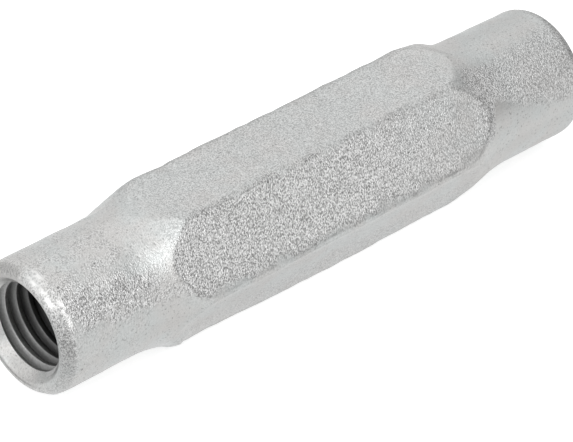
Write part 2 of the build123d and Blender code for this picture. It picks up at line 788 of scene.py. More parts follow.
    def cut_by_countersink(self, depth: np.ndarray, height: np.ndarray) -> tuple[np.ndarray, np.ndarray]:
        """Depth and radius of the wall's points after the countersink has cut the first turns.

        Args:
            depth: depth of each point behind the end face.
            height: depth of the groove at each row.

        Returns:
            The depths, with the points nearest to the crossing moved onto it, and the radii.
        """
        fading = 1.0 - smooth_step(depth, self.reach - self.fade, self.reach)
        thread = self.minor_radius + height * fading
        cone = self.mouth_radius - depth
        above = thread - cone
        crossing = (above[:-1] < 0.0) != (above[1:] < 0.0)
        gap = np.where(crossing, above[:-1] - above[1:], 1.0)
        share = np.where(crossing, above[:-1] / gap, 0.0)
        target = depth[:-1] + share * (depth[1:] - depth[:-1])
        moved, on_cone = depth.copy(), np.zeros(depth.shape, bool)
        early, late = crossing & (share < 0.5), crossing & (share >= 0.5)
        moved[:-1][early] = target[early]
        moved[1:][late] = target[late]
        on_cone[:-1] |= early
        on_cone[1:] |= late
        cone = self.mouth_radius - np.clip(moved, self.lead_in, None)
        return moved, np.where(on_cone, cone, np.maximum(thread, cone))


@dataclass(frozen=True)
class DarkBell:
    """A darker band, darkest at its middle, used for painted shade and for darker patches.

    Args:
        shade: share of the brightness that its middle loses.
        centre: where its middle lies.
        width: standard deviation of the bell across it.
    """

    shade: float
    centre: float
    width: float

    def at(self, place: np.ndarray) -> np.ndarray:
        """Share of the brightness that each place loses, as a bell curve."""
        return self.shade * bell(place, self.centre, self.width)


@dataclass(frozen=True)
class Spots:
    """Points of the surface, with what the masks ask about them.

    Args:
        points: every point of the surface.
        trimmed: how far the bar is cut back at each point, negative on its flats.
        raggedness: random angle by which each point's angle is moved, in degrees.
        half_length: half the nut's length.
    """

    points: np.ndarray
    trimmed: np.ndarray
    raggedness: np.ndarray
    half_length: float

    @property
    def along(self) -> np.ndarray:
        """X of each point."""
        return self.points[:, 0]

    @property
    def depth(self) -> np.ndarray:
        """Depth of each point behind the nearer end face."""
        return self.half_length - np.abs(self.along)

    @property
    def radius(self) -> np.ndarray:
        """Distance of each point from the axis."""
        return np.hypot(self.points[:, 1], self.points[:, 2])

    @property
    def angle(self) -> np.ndarray:
        """Angle of each point about the axis, in radians."""
        return np.arctan2(-self.points[:, 1], self.points[:, 2])

    @property
    def degrees(self) -> np.ndarray:
        """Angle of each point about the axis, from 0 to 360 degrees."""
        return np.degrees(self.angle) % FULL_TURN

    @property
    def turned(self) -> np.ndarray:
        """Ragged angle of each point in degrees, folded so that the back repeats the front."""
        return (np.degrees(self.angle) + FOLD) % HALF_TURN - FOLD + self.raggedness


@dataclass(frozen=True)
class GritAndGlintMap:
    """Strength of the grit and of its painted glints and shade: full on a band with ragged edges along the
    nut, where grazing light shows the grit most, calmer elsewhere.

    Places along the nut are X. Angles are in degrees, and those of the band are ragged angles, as in
    Spots.turned.

    Args:
        band: rows of X and the angles of the band's upper and lower edge.
        upper_softness: rows of X and how soft the upper edge is.
        upper_edge: span of the upper edge, in degrees for a softness of 1.
        lower_softness: rows of distance from the nut's middle and how soft the lower edge is.
        lower_edge: span of the lower edge, in degrees for a softness of 1.
        strength: rows of X and the strength on the band.
        calm: rows of X and the strength off the band.
        calm_neck: window of -X in which the trimmed part of the left neck is calm.
        calm_neck_end: angles over which that calm ends.
        trim_edge: how far the bar is cut back from the outer to the inner edge of a trimmed part.
        below_loss: share of the calm grit that is missing below the band.
        below_blend: half the angle over which it goes missing.
        patches: waves of the patches on the left end.
        patch_change: how much they change the strength.
        patch_end: span of X over which they end.
        lip: rows of angle and the strength on the lips.
        lip_depth: depths over which the lips' strength gives way.
        rim_loss: share of the grit that is missing round the mouths.
        rim_span: distances from the axis over which it comes back.
        rim_depth: depth down to which it is missing.
    """

    band: Rows = (
        (-63.5, 28.0, 70.0),
        (-60.0, 33.0, 68.0),
        (-55.0, 39.0, 71.0),
        (-48.0, 43.0, 75.0),
        (-44.0, 50.0, 76.0),
        (-40.5, 46.0, 79.0),
        (-38.6, 42.0, 80.0),
        (-36.0, 38.0, 81.0),
        (-32.0, 30.0, 85.2),
        (-15.0, 30.0, 86.3),
        (33.0, 30.0, 87.0),
        (36.0, 26.0, 82.0),
        (38.5, 19.0, 76.0),
        (41.0, 23.0, 53.0),
        (46.5, 22.0, 67.0),
        (50.0, 21.0, 74.0),
        (57.0, 16.0, 83.0),
        (63.5, 12.0, 88.0),
    )
    upper_softness: Rows = (
        (-50.0, 1.8),
        (-41.0, 0.3),
        (-35.0, 0.3),
        (-33.0, 1.0),
        (33.0, 1.0),
        (35.0, 0.3),
        (41.0, 0.3),
        (44.0, 1.0),
    )
    upper_edge: Span = (-4.0, 6.0)
    lower_softness: Rows = ((42.0, 1.0), (46.0, 2.2))
    lower_edge: Span = (-3.0, 2.0)
    strength: Rows = (
        (-63.5, 1.3),
        (-46.0, 1.3),
        (-43.0, 0.75),
        (-38.5, 0.55),
        (-37.0, 1.15),
        (-20.0, 1.15),
        (10.0, 0.98),
        (34.0, 0.46),
        (37.0, 0.9),
        (41.0, 0.9),
        (46.0, 0.66),
        (63.5, 0.66),
    )
    calm: Rows = (
        (-63.5, 0.42),
        (-47.0, 0.42),
        (-43.0, 0.24),
        (-38.0, 0.24),
        (-33.0, 0.48),
        (0.0, 0.56),
        (20.0, 0.50),
        (32.0, 0.54),
        (38.0, 0.22),
        (63.5, 0.16),
    )
    calm_neck: Window = (31.0, 33.0, 41.0, 42.0)
    calm_neck_end: Span = (66.0, 72.0)
    trim_edge: Span = (-0.03, 0.05)
    below_loss: float = 0.55
    below_blend: float = 8.0
    patches: Ripple = Ripple(1.5, 5.0, seed=41)
    patch_change: float = 0.3
    patch_end: Span = (-46.0, -40.0)
    lip: Rows = (
        (-120.0, 0.35),
        (0.0, 0.45),
        (30.0, 0.70),
        (60.0, 0.95),
        (80.0, 0.85),
        (95.0, 0.62),
        (120.0, 0.45),
        (150.0, 0.60),
        (180.0, 0.45),
    )
    lip_depth: Span = (1.6, 2.8)
    rim_loss: float = 0.6
    rim_span: Span = (10.4, 11.2)
    rim_depth: float = 3.0

    def upper(self, along: np.ndarray) -> np.ndarray:
        """Angle of the band's upper edge at each X."""
        return look_up(self.band, along, column=1)

    def lower(self, along: np.ndarray) -> np.ndarray:
        """Angle of the band's lower edge at each X."""
        return look_up(self.band, along, column=2)

    def on_band(self, spots: Spots) -> np.ndarray:
        """How far each point lies on the band: a rise at its upper edge times a fall at its lower one.

        Args:
            spots: the points of the surface.

        Returns:
            Numbers from 0 off the band to 1 on it, with the calm part of the left neck taken out.
        """
        along, turned = spots.along, spots.turned
        upper, soft = self.upper(along), look_up(self.upper_softness, along)
        band = smooth_step(turned, *(upper + edge * soft for edge in self.upper_edge))
        lower, soft = self.lower(along), look_up(self.lower_softness, np.abs(along))
        band *= smooth_fall(turned, *(lower + edge * soft for edge in self.lower_edge))
        neck = between(-along, self.calm_neck) * smooth_fall(turned, *self.calm_neck_end)
        return band * (1.0 - neck * smooth_step(spots.trimmed, *self.trim_edge))

    def at(self, spots: Spots) -> np.ndarray:
        """Strength of the grit at each point.

        Args:
            spots: the points of the surface.

        Returns:
            The strength for each point, about 1 where the grit is full.
        """
        along, lower = spots.along, self.lower(spots.along)
        below = smooth_step(spots.turned, lower - self.below_blend, lower + self.below_blend)
        calm = look_up(self.calm, along) * (1.0 - self.below_loss * below)
        strong = look_up(self.strength, along)
        patches = self.patches.at(spots.points) * smooth_fall(along, *self.patch_end)
        grit = (calm + (strong - calm) * self.on_band(spots)) * (1.0 + self.patch_change * patches)
        lip = look_up(self.lip, spots.degrees, period=FULL_TURN)
        grit += (lip - grit) * smooth_fall(spots.depth, *self.lip_depth)
        rim = smooth_fall(spots.radius, *self.rim_span) * (spots.depth < self.rim_depth)
        return grit * (1.0 - self.rim_loss * rim)


@dataclass(frozen=True)
class DarkeningMap:
    """How much darker than clean plate the skin is, as the share of its brightness that it loses.
    Most of it is painted shade, along the flats' borders and corners and over the right end.

    Places along the nut are X. Angles are in degrees, and those of the gritty flat are ragged angles,
    as in Spots.turned.

    Args:
        middle: distances from the nut's middle over which the hexagon's darkening ends.
        band_edge: painted shade along the corner at the lower edge of the gritty band, placed from that
            edge.
        back_corner_shade: painted shade along the upper corner of the back.
        underside: window of angles of the darker underside.
        under_shade: its shade.
        under_middle_shade: its further shade on the hexagon.
        far: span of X over which the painted shade of the right end begins.
        far_shade: its shade.
        far_grit_shade: its further shade where it is gritty.
        far_grit_end: angles over which that ends.
        border: how far the bar is cut back where the painted shade along the flats' borders is darkest.
        border_width: standard deviation of the bell across that shade.
        border_spread: share by which it is wider at the right end.
        border_shade: its shade.
        border_flat_shade: its further shade on the gritty flat.
        border_far_shade: its further shade at the right end.
        gritty_flat: window of angles of that flat.
        lip: darker patch on the front of the lips.
        lip_depth: depths over which it ends.
        far_face: span of X over which the painted shade of the right end face begins.
        far_face_shade: its shade.
        rim: darker line round the mouths, placed by the distance from the axis.
        rim_depth: depth down to which it reaches.
        rim_window: window of angles that it covers.
        top: angle of the darker top of the left end face.
        top_span: angles from there over which it ends.
        top_depth: depths over which it ends.
        top_shade: its shade.
    """

    middle: Span = (33.0, 37.0)
    band_edge: DarkBell = DarkBell(0.16, centre=-1.0, width=1.4)
    back_corner_shade: DarkBell = DarkBell(0.16, centre=330.0, width=2.5)
    underside: Window = (93.0, 99.0, 190.0, 220.0)
    under_shade: float = 0.04
    under_middle_shade: float = 0.06
    far: Span = (28.0, 44.0)
    far_shade: float = 0.03
    far_grit_shade: float = 0.05
    far_grit_end: Span = (78.0, 92.0)
    border: float = -0.03
    border_width: float = 0.07
    border_spread: float = 0.5
    border_shade: float = 0.05
    border_flat_shade: float = 0.17
    border_far_shade: float = 0.08
    gritty_flat: Window = (24.0, 36.0, 86.0, 96.0)
    lip: DarkBell = DarkBell(0.30, centre=80.0, width=24.0)
    lip_depth: Span = (1.2, 2.4)
    far_face: Span = (61.0, 62.8)
    far_face_shade: float = 0.28
    rim: DarkBell = DarkBell(0.45, centre=10.6, width=0.15)
    rim_depth: float = 1.0
    rim_window: Window = (150.0, 175.0, 250.0, 270.0)
    top: float = 335.0
    top_span: Span = (20.0, 45.0)
    top_depth: Span = (0.6, 1.6)
    top_shade: float = 0.20

    def on_flats(self, spots: Spots, band_edge: np.ndarray) -> np.ndarray:
        """Darkening of the hexagon and the round ends: painted shade along edges and borders and at the
        right end, and a darker underside.

        Args:
            spots: the points of the surface.
            band_edge: ragged angle of the gritty band's lower edge at each point.

        Returns:
            The share of its brightness that each point loses.
        """
        turned, degrees = spots.turned, spots.degrees
        middle = smooth_fall(np.abs(spots.along), *self.middle)
        far = smooth_step(spots.along, *self.far)
        gritty = smooth_fall(turned, *self.far_grit_end)
        # Painted shade over the right end, darker where it is gritty.
        shaded = (self.far_grit_shade * gritty + self.far_shade) * far
        # Painted shade along the corner under the gritty band and along the upper corner of the back.
        shaded += (self.band_edge.at(turned - band_edge) + self.back_corner_shade.at(degrees)) * middle
        under = self.under_shade + self.under_middle_shade * middle
        shaded += under * between(degrees, self.underside)
        facing = between(turned, self.gritty_flat)
        # Painted shade along the borders where the flats meet the necks, darkest on the gritty flat.
        border = self.border_shade + self.border_flat_shade * facing + self.border_far_shade * far
        width = self.border_width * (1.0 + self.border_spread * far)
        return shaded + border * bell(spots.trimmed, self.border, width)

    def on_ends(self, spots: Spots) -> np.ndarray:
        """Darkening of the lips, end faces and rims of the mouths, with painted shade on the right end face.

        Args:
            spots: the points of the surface.

        Returns:
            The share of its brightness that each point loses.
        """
        along, degrees, depth = spots.along, spots.degrees, spots.depth
        shaded = self.lip.at(degrees) * smooth_fall(depth, *self.lip_depth)
        # Painted shade over the right end face.
        shaded += self.far_face_shade * smooth_step(along, *self.far_face)
        low = between(degrees, self.rim_window) * (depth < self.rim_depth)
        shaded += self.rim.at(spots.radius) * low
        top = smooth_fall(np.abs(degrees - self.top), *self.top_span) * (along < 0.0)
        return shaded + self.top_shade * top * smooth_fall(depth, *self.top_depth)


@dataclass(frozen=True)
class HighlightStreakMap:
    """Strength of the painted highlight streaks on the left lip.

    Args:
        skin: the outer skin, which has the streaks.
        rim: distances from the axis over which they begin.
        level: their usual strength.
        change: standard deviation of the strength.
        ripple: waves by which it changes.
    """

    skin: Forging
    rim: Span = (10.7, 11.3)
    level: float = 0.8
    change: float = 0.45
    ripple: Ripple = Ripple(0.6, 2.0, seed=31)

    def at(self, spots: Spots) -> np.ndarray:
        """Strength at each point: the streaks' own, made uneven and kept off the mouth.

        Args:
            spots: the points of the surface.

        Returns:
            Numbers from 0 to 1.
        """
        streaks = self.skin.burnish(spots.along + self.skin.half_length, spots.angle)
        uneven = np.clip(self.level + self.change * self.ripple.at(spots.points), 0.0, 1.0)
        # Painted highlights along the lip's streaks.
        return streaks * smooth_step(spots.radius, *self.rim) * uneven


@dataclass(frozen=True)
class BoreShadeMap:
    """How much clean plate shows on the wall of the bore; near-black painted shade takes its place down the
    bore and in the thread's roots.

    Args:
        thread: one of the threads, for the radii that both share.
        reach: depths over which the plate gives way to the painted shade.
        darkening: share of the plate that painted shade hides down in the deepest grooves.
        darkening_depth: depths over which that shade gets darker.
    """

    thread: Thread
    reach: Span = (1.0, 12.0)
    darkening: float = 0.65
    darkening_depth: Span = (1.0, 4.5)

    def at(self, spots: Spots) -> np.ndarray:
        """Share of clean plate at each point: less down the bore, and less towards the thread's root.
        The rest is painted shade.

        Args:
            spots: the points of the surface.

        Returns:
            Numbers from 0 to 1.
        """
        crest = self.thread.minor_radius + self.thread.crest_round
        root = smooth_step(spots.radius, crest, self.thread.major_radius)
        # Painted shade: the plate gives way to near-black down the bore and in the thread's roots.
        hidden = self.darkening * root * smooth_step(spots.depth, *self.darkening_depth)
        return smooth_fall(spots.depth, *self.reach) * (1.0 - hidden)


@dataclass
class SurfaceMasks:
    """Masks of the whole surface, which the finishes read.

    Args:
        half_length: half the nut's length.
        burnish: the lip's streaks, with their painted highlights.
        plate: the plate of the bore, which gives way to painted shade down it.
        grit: the grit of the skin, with its painted glints and shade.
        darkening: the darkening of the skin, most of it painted shade.
        ragged_waves: sizes in degrees and waves of what makes the edges along the nut ragged.
        streak_calm: share of the grit that a streak flattens.
    """

    half_length: float
    burnish: HighlightStreakMap
    plate: BoreShadeMap
    grit: GritAndGlintMap = GritAndGlintMap()
    darkening: DarkeningMap = DarkeningMap()
    ragged_waves: tuple[tuple[float, Ripple], ...] = (
        (1.0, Ripple(0.8, 2.0, seed=21)),
        (1.2, Ripple(4.0, 12.0, seed=22)),
    )
    streak_calm: float = 0.5

    def masks(self, points: np.ndarray, trimmed: np.ndarray) -> dict[str, np.ndarray]:
        """Work out every mask.

        Args:
            points: every point of the surface.
            trimmed: how far the bar is cut back at each point, negative on its flats.

        Returns:
            The masks by name: strength of the grit with its painted glints and shade, share of the
                brightness
            that the darkening leaves, much of it painted shade, strength of the painted highlight streaks
            and share of clean plate in the bore, the rest of which is painted shade.
        """
        raggedness = sum(size * waves.at(points) for size, waves in self.ragged_waves)
        spots = Spots(points, trimmed, raggedness, self.half_length)
        burnish = self.burnish.at(spots)
        # Darkening of the skin, most of it painted shade.
        darkened = self.darkening.on_flats(spots, self.grit.lower(spots.along)) + self.darkening.on_ends(spots)
        return {
            # Grit: the bump's height and how strongly the grains' painted glints and shade show.
            "grit": self.grit.at(spots) * (1.0 - self.streak_calm * burnish),
            "tone": 1.0 - darkened,
            # Strength of the painted highlight streaks on the lip.
            "burnish": burnish,
            # Share of clean plate in the bore; the rest is painted shade.
            "plate": self.plate.at(spots),
        }


@dataclass
class CouplingNut:
    """The whole nut: a forged skin, a left-hand and a right-hand thread and the plain bore between.

    Args:
        name: name of the nut's object.
        skin: the outer skin.
        threads: the left end's thread and the right end's.
        surface_masks: grit, darkening and painted highlights of the nut, much of the darkening painted
            shade.
        bore_rows: rows of the grid from one thread to the other.
    """

    name: str
    skin: Forging
    threads: tuple[Thread, Thread]
    surface_masks: SurfaceMasks
    bore_rows: int = 9

    def rim_faces(self, surface: Surface, outer: np.ndarray, ring: np.ndarray, flip: bool) -> None:
        """Join a mouth's ring to the skin's first row, which has twice as many points.

        Args:
            surface: surface to add to.
            outer: point numbers of the skin's row.
            ring: point numbers of the mouth's ring.
            flip: whether the faces look along +X.
        """
        even, odd, following = outer[::2], outer[1::2], np.roll(outer[::2], -1)
        onward = np.roll(ring, -1)
        fans = [(ring, odd, even), (ring, onward, odd), (onward, following, odd)]
        corners = np.concatenate([np.stack(fan, axis=-1) for fan in fans])
        surface.add_faces(corners[:, ::-1] if flip else corners, Finish.SKIN.value)

    def build(self) -> bpy.types.Object:
        """Make the closed surface of the nut.

        Returns:
            The nut's object.
        """
        surface = Surface()
        points, cut = self.skin.skin()
        skin = surface.add_points(points)
        surface.add_grid(skin, Finish.SKIN.value)
        inner_rings = []
        angle = self.skin.columns.angles()[::2]
        for thread, outer in zip(self.threads, (skin[0], skin[-1])):
            right = thread.side is Side.RIGHT_END
            rim = surface.add_points(thread.rim())
            inner = surface.add_points(around(thread.at_depth(thread.reach), thread.minor_radius, angle))
            self.rim_faces(surface, outer, rim[0], flip=right)
            surface.add_grid(rim, Finish.SKIN.value, flip=not right)
            thread.wall(surface, rim[-1], inner)
            inner_rings.append(inner)
        stops = [thread.at_depth(thread.reach) for thread in self.threads]
        along = np.linspace(stops[0], stops[1], self.bore_rows)[1:-1, None]
        middle = surface.add_points(around(along, self.threads[0].minor_radius, angle[None, :]))
        bore = np.concatenate([inner_rings[0][None], middle, inner_rings[1][None]])
        surface.add_grid(bore, Finish.BORE.value, flip=True)
        trimmed = np.full(surface.count, self.skin.flat_radius)
        trimmed[skin.ravel()] = cut.ravel()
        return surface.build(self.name, self.surface_masks.masks(np.concatenate(surface.points), trimmed))


@dataclass
class Wiring:
    """Short hand for adding and joining the nodes of one tree.

    Args:
        tree: the tree that the nodes go into.
    """

    tree: bpy.types.NodeTree

    def node(self, kind: str, **settings: object) -> bpy.types.Node:
        """Add a node and set its properties.

        Args:
            kind: the node's type.
            settings: properties of the node by name.

        Returns:
            The new node.
        """
        made = self.tree.nodes.new(kind)
        for key, value in settings.items():
            setattr(made, key, value)
        return made

    def feed(self, socket: bpy.types.NodeSocket, value: object) -> None:
        """Join a socket to another one, or set it to a value.

        Args:
            socket: the input socket.
            value: an output socket, or a number, colour or vector.
        """
        if isinstance(value, bpy.types.NodeSocket):
            self.tree.links.new(value, socket)
        else:
            socket.default_value = value

    def mask(self, name: str) -> bpy.types.NodeSocket:
        """Read one of the surface's masks."""
        return self.node("ShaderNodeAttribute", attribute_name=name).outputs["Fac"]

    def math(self, operation: str, first: object, second: object) -> bpy.types.NodeSocket:
        """Work out one sum on numbers.

        Args:
            operation: name of the sum.
            first: first number or socket.
            second: second number or socket.

        Returns:
            The result's socket.
        """
        made = self.node("ShaderNodeMath", operation=operation)
        self.feed(made.inputs[0], first)
        self.feed(made.inputs[1], second)
        return made.outputs[0]

    def vector(self, operation: str, first: object, second: object) -> bpy.types.NodeSocket:
        """Work out one sum on vectors.

        Args:
            operation: name of the sum.
            first: first vector or its socket.
            second: second vector or its socket, or the number that the first one is scaled by.

        Returns:
            The result's socket.
        """
        made = self.node("ShaderNodeVectorMath", operation=operation)
        self.feed(made.inputs[0], first)
        self.feed(made.inputs["Scale" if operation == "SCALE" else 1], second)
        return made.outputs["Value" if operation == "DOT_PRODUCT" else "Vector"]

    def remap(self, value: object, given: Span, result: Span = (0.0, 1.0)) -> bpy.types.NodeSocket:
        """Map a range of numbers onto another, smoothly and with its ends held.

        Args:
            value: number or socket to map.
            given: start and end of the range.
            result: results at its start and its end.

        Returns:
            The result's socket.
        """
        made = self.node("ShaderNodeMapRange", interpolation_type="SMOOTHSTEP")
        self.feed(made.inputs["Value"], value)
        self.feed(made.inputs["From Min"], given[0])
        self.feed(made.inputs["From Max"], given[1])
        self.feed(made.inputs["To Min"], result[0])
        self.feed(made.inputs["To Max"], result[1])
        return made.outputs["Result"]

    def noise(
        self,
        place: object,
        scale: object,
        detail: float,
        roughness: float = 0.5,
        distortion: float = 0.0,
    ) -> bpy.types.NodeSocket:
        """Add a noise pattern and give its value.

        Args:
            place: socket with the coordinates.
            scale: how many features there are in a millimetre.
            detail: how many finer layers are added.
            roughness: how strong the finer layers are.
            distortion: how much the pattern is bent.

        Returns:
            The pattern's value.
        """
        made = self.node("ShaderNodeTexNoise")
        self.feed(made.inputs["Vector"], place)
        self.feed(made.inputs["Scale"], scale)
        self.feed(made.inputs["Detail"], detail)
        self.feed(made.inputs["Roughness"], roughness)
        self.feed(made.inputs["Distortion"], distortion)
        return made.outputs["Fac"]

    def blend(self, share: object, first: object, second: object) -> bpy.types.NodeSocket:
        """Mix two colours.

        Args:
            share: how much of the second colour is used.
            first: first colour, or its socket.
            second: second colour, or its socket.

        Returns:
            The mixed colour.
        """
        made = self.node("ShaderNodeMix", data_type="RGBA")
        for number, value in zip(MIX_INPUTS, (share, first, second)):
            self.feed(made.inputs[number], (*value, 1.0) if isinstance(value, tuple) else value)
        return made.outputs[MIX_RESULT]


@dataclass(frozen=True)
class GritAndGlintGroup:
    """Node group shared by the finishes: blasted grit, its pits, its painted glints and pinholes.

    Args:
        name: name of the group.
        pinhole_cells: how many cells, each with one possible pinhole, there are in a millimetre.
        pinhole_size: distance from a pinhole's middle to where it fades out, in millimetres.
        pinhole_share: share of the cells whose pinhole is kept.
        lay: direction along which the grains are drawn out.
        stretch: share by which the pattern is slowed along the lay.
        glint_range: values of the grains' pattern from which to which the painted glints grow.
        pit_scale: how many pits there are for each grain along a line.
        pit_range: values of the pits' pattern from which to which the pits grow.
        patch_scale: how many patches there are in a millimetre.
    """

    name: str = "forged_grit"
    pinhole_cells: float = 0.45
    pinhole_size: float = 0.32
    pinhole_share: float = 0.10
    lay: tuple[float, float, float] = (-0.403, -0.458, -0.792)
    stretch: float = 0.3
    glint_range: Span = (0.30, 0.66)
    pit_scale: float = 0.55
    pit_range: Span = (0.60, 0.76)
    patch_scale: float = 0.12

    def drawn_out(self, wiring: Wiring, place: bpy.types.NodeSocket) -> bpy.types.NodeSocket:
        """Slow the coordinates along the lay, so that a pattern on them is drawn out along it.

        The part of a place that lies along the lay, times the stretch, is taken off the place.

        Args:
            wiring: the group's wiring.
            place: socket with the coordinates.

        Returns:
            The socket with the slowed coordinates.
        """
        lengthwise = wiring.vector("DOT_PRODUCT", place, self.lay)
        excess = wiring.vector("SCALE", self.lay, wiring.math("MULTIPLY", lengthwise, self.stretch))
        return wiring.vector("SUBTRACT", place, excess)

    def pinholes(self, wiring: Wiring, place: bpy.types.NodeSocket) -> bpy.types.NodeSocket:
        """Sparse pinholes: a spot that fades out round the middle of each chosen Voronoi cell.

        Args:
            wiring: the group's wiring.
            place: socket with the coordinates.

        Returns:
            The socket with their strength.
        """
        cells = wiring.node("ShaderNodeTexVoronoi")
        wiring.feed(cells.inputs["Vector"], place)
        wiring.feed(cells.inputs["Scale"], self.pinhole_cells)
        parts = wiring.node("ShaderNodeSeparateColor")
        wiring.feed(parts.inputs[0], cells.outputs["Color"])
        chosen = wiring.math("GREATER_THAN", parts.outputs[0], 1.0 - self.pinhole_share)
        reach = self.pinhole_size * self.pinhole_cells
        near = wiring.remap(cells.outputs["Distance"], (0.5 * reach, reach), result=(1.0, 0.0))
        return wiring.math("MULTIPLY", near, chosen)

    def tree(self) -> bpy.types.NodeTree:
        """Build the group once and give it.

        Returns:
            The group, with inputs Place and Grain and outputs Height, Glints, Pits, Patches and Pinholes.
        """
        if self.name in bpy.data.node_groups:
            return bpy.data.node_groups[self.name]
        group = bpy.data.node_groups.new(self.name, "ShaderNodeTree")
        group.interface.new_socket("Place", in_out="INPUT", socket_type="NodeSocketVector")
        group.interface.new_socket("Grain", in_out="INPUT", socket_type="NodeSocketFloat")
        for output in ("Height", "Flecks", "Pits", "Patches", "Pinholes"):
            group.interface.new_socket(output, in_out="OUTPUT", socket_type="NodeSocketFloat")
        wiring = Wiring(group)
        given = wiring.node("NodeGroupInput")
        result = wiring.node("NodeGroupOutput")
        place = given.outputs["Place"]
        scale = wiring.math("DIVIDE", 1.0, given.outputs["Grain"])
        drawn = self.drawn_out(wiring, place)
        grains = wiring.noise(drawn, scale, detail=1.0, roughness=0.45, distortion=0.25)
        wiring.feed(result.inputs["Height"], wiring.math("SUBTRACT", grains, 0.5))
        wiring.feed(result.inputs["Flecks"], wiring.remap(grains, self.glint_range))
        deep = wiring.noise(place, wiring.math("MULTIPLY", scale, self.pit_scale), detail=1.0)
        wiring.feed(result.inputs["Pits"], wiring.remap(deep, self.pit_range))
        patches = wiring.noise(place, self.patch_scale, detail=2.5, roughness=0.55)
        wiring.feed(result.inputs["Patches"], patches)
        wiring.feed(result.inputs["Pinholes"], self.pinholes(wiring, place))
        return group


@dataclass(frozen=True)
class ZincFinish:
    """Dull zinc plate on steel, with painted highlights and painted shade in its colour.

    Args:
        name: name of the material.
        covers: which surface of the nut it is for.
        colour: colour of clean plate.
        cool: colour of its cooler patches.
        warm: colour of its warmer patches.
        shade: painted shade down between the grains of the grit.
        glint: painted highlight on top of the grains.
        roughness: roughness of clean plate.
        grain: size of the grit's grains in millimetres.
        relief: height of the grit in millimetres.
        pinhole_and_shade: near-black of the pinholes, and of the painted shade down the bore.
        bright: colour of the painted highlight streaks on the lip.
        pinhole_depth: how far a pinhole's colour goes towards pinhole_and_shade.
        pit_depth: how far a pit's colour goes towards the shade.
        tint_share: share of the cool and warm patches in the colour.
        tint_range: values of the patches' pattern from the coolest to the warmest.
        rough_range: values of the same pattern from the smoothest to the roughest.
        rough_change: how much the roughness changes each way.
    """

    name: str
    covers: Finish
    colour: Colour
    cool: Colour
    warm: Colour
    shade: Colour
    glint: Colour
    roughness: float
    grain: float
    relief: float
    pinhole_and_shade: Colour = (0.10, 0.10, 0.10)
    bright: Colour = (0.93, 0.93, 0.92)
    pinhole_depth: float = 0.6
    pit_depth: float = 0.7
    tint_share: float = 0.5
    tint_range: Span = (0.36, 0.64)
    rough_range: Span = (0.3, 0.7)
    rough_change: float = 0.04

    def plate(
        self,
        wiring: Wiring,
        grit: bpy.types.Node,
        contrast: object,
    ) -> bpy.types.NodeSocket:
        """Colour of the plate itself: cool and warm patches, then the grains with their painted glints and
        shade, and the pits over them.

        Args:
            wiring: the material's wiring.
            grit: the grit group's node.
            contrast: how strongly the grains show.

        Returns:
            The colour's socket.
        """
        tint = wiring.remap(grit.outputs["Patches"], self.tint_range)
        plate = wiring.blend(self.tint_share, self.colour, wiring.blend(tint, self.cool, self.warm))
        # Painted glints on top of the grains and painted shade between them.
        glints_and_shade = wiring.blend(grit.outputs["Flecks"], self.shade, self.glint)
        plate = wiring.blend(contrast, plate, glints_and_shade)
        pits = wiring.math("MULTIPLY", grit.outputs["Pits"], self.pit_depth)
        return wiring.blend(pits, plate, self.shade)

    def worn(
        self,
        wiring: Wiring,
        grit: bpy.types.Node,
        plate: bpy.types.NodeSocket,
    ) -> bpy.types.NodeSocket:
        """Colour after darkening, pinholes and painted highlights.

        The bore goes over into near-black down its depth, which is painted shade. The skin is darkened,
        mostly by painted shade, then gets its pinholes and its painted highlight streaks.

        Args:
            wiring: the material's wiring.
            grit: the grit group's node.
            plate: colour of the plate itself.

        Returns:
            The colour's socket.
        """
        if self.covers is Finish.BORE:
            # Down the bore the plate gives way to near-black painted shade.
            return wiring.blend(wiring.mask("plate"), self.pinhole_and_shade, plate)
        # Darkening from the tone mask, most of it painted shade.
        darkened = wiring.blend(wiring.mask("tone"), (0.0, 0.0, 0.0), plate)
        holes = wiring.math("MULTIPLY", grit.outputs["Pinholes"], self.pinhole_depth)
        pierced = wiring.blend(holes, darkened, self.pinhole_and_shade)
        # Painted highlight streaks along the lip.
        return wiring.blend(wiring.mask("burnish"), pierced, self.bright)

    def material(self) -> bpy.types.Material:
        """Build the material from the shared grit group.

        Returns:
            The new material.
        """
        made = bpy.data.materials.new(self.name)
        made.use_nodes = True
        made.node_tree.nodes.clear()
        wiring = Wiring(made.node_tree)
        output = wiring.node("ShaderNodeOutputMaterial")
        shader = wiring.node("ShaderNodeBsdfPrincipled")
        wiring.feed(output.inputs["Surface"], shader.outputs[0])
        coordinates = wiring.node("ShaderNodeTexCoord").outputs["Object"]
        grit = wiring.node("ShaderNodeGroup", node_tree=GritAndGlintGroup().tree())
        wiring.feed(grit.inputs["Place"], wiring.vector("SCALE", coordinates, 1.0 / MM))
        wiring.feed(grit.inputs["Grain"], self.grain)
        height, contrast = grit.outputs["Height"], 1.0
        if self.covers is Finish.SKIN:
            # The grit mask sets the bump's height and how strongly the grains' painted glints and shade
            # show.
            contrast = wiring.mask("grit")
            height = wiring.math("MULTIPLY", height, contrast)
        plate = self.plate(wiring, grit, contrast)
        wiring.feed(shader.inputs["Base Color"], self.worn(wiring, grit, plate))
        wiring.feed(shader.inputs["Metallic"], 1.0)
        limits = (self.roughness - self.rough_change, self.roughness + self.rough_change)
        rough = wiring.remap(grit.outputs["Patches"], self.rough_range, limits)
        wiring.feed(shader.inputs["Roughness"], rough)
        bump = wiring.node("ShaderNodeBump")
        wiring.feed(bump.inputs["Strength"], 1.0)
        wiring.feed(bump.inputs["Distance"], self.relief * MM)
        wiring.feed(bump.inputs["Height"], height)
        wiring.feed(shader.inputs["Normal"], bump.outputs["Normal"])
        return made


